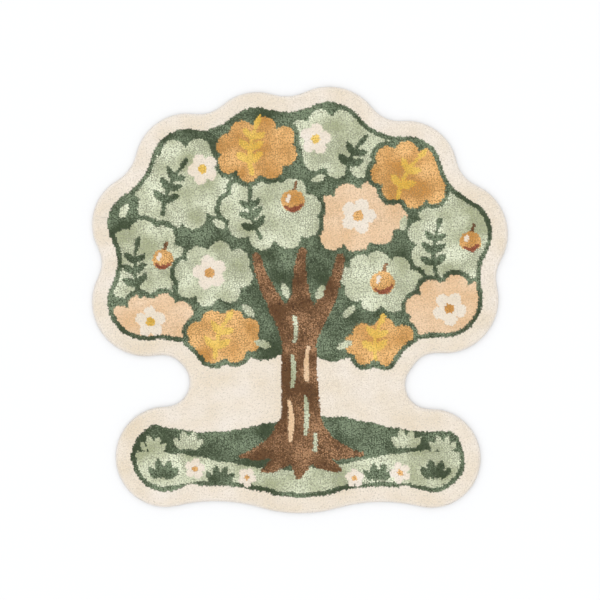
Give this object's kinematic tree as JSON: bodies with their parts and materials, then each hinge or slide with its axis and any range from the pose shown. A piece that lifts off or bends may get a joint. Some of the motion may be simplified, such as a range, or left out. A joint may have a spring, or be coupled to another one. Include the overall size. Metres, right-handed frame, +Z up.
{
  "type": "kids rug",
  "caption": "Flat contour rug for a child's room in the outline of a storybook tree, short cotton pile on a canvas backing, with a plain border.",
  "frame": {"origin": "middle of the flat underside, on the floor", "axes": "+Z up out of the pile, +Y towards the top of the tree's crown, +X to its right"},
  "size_m": [1.072, 1.0996, 0.0162],
  "materials": {
    "cotton_pile": "short cut cotton pile, matt"
  },
  "bodies": {
    "root": {"rug": "cotton_pile"}
  },
  "joints": []
}
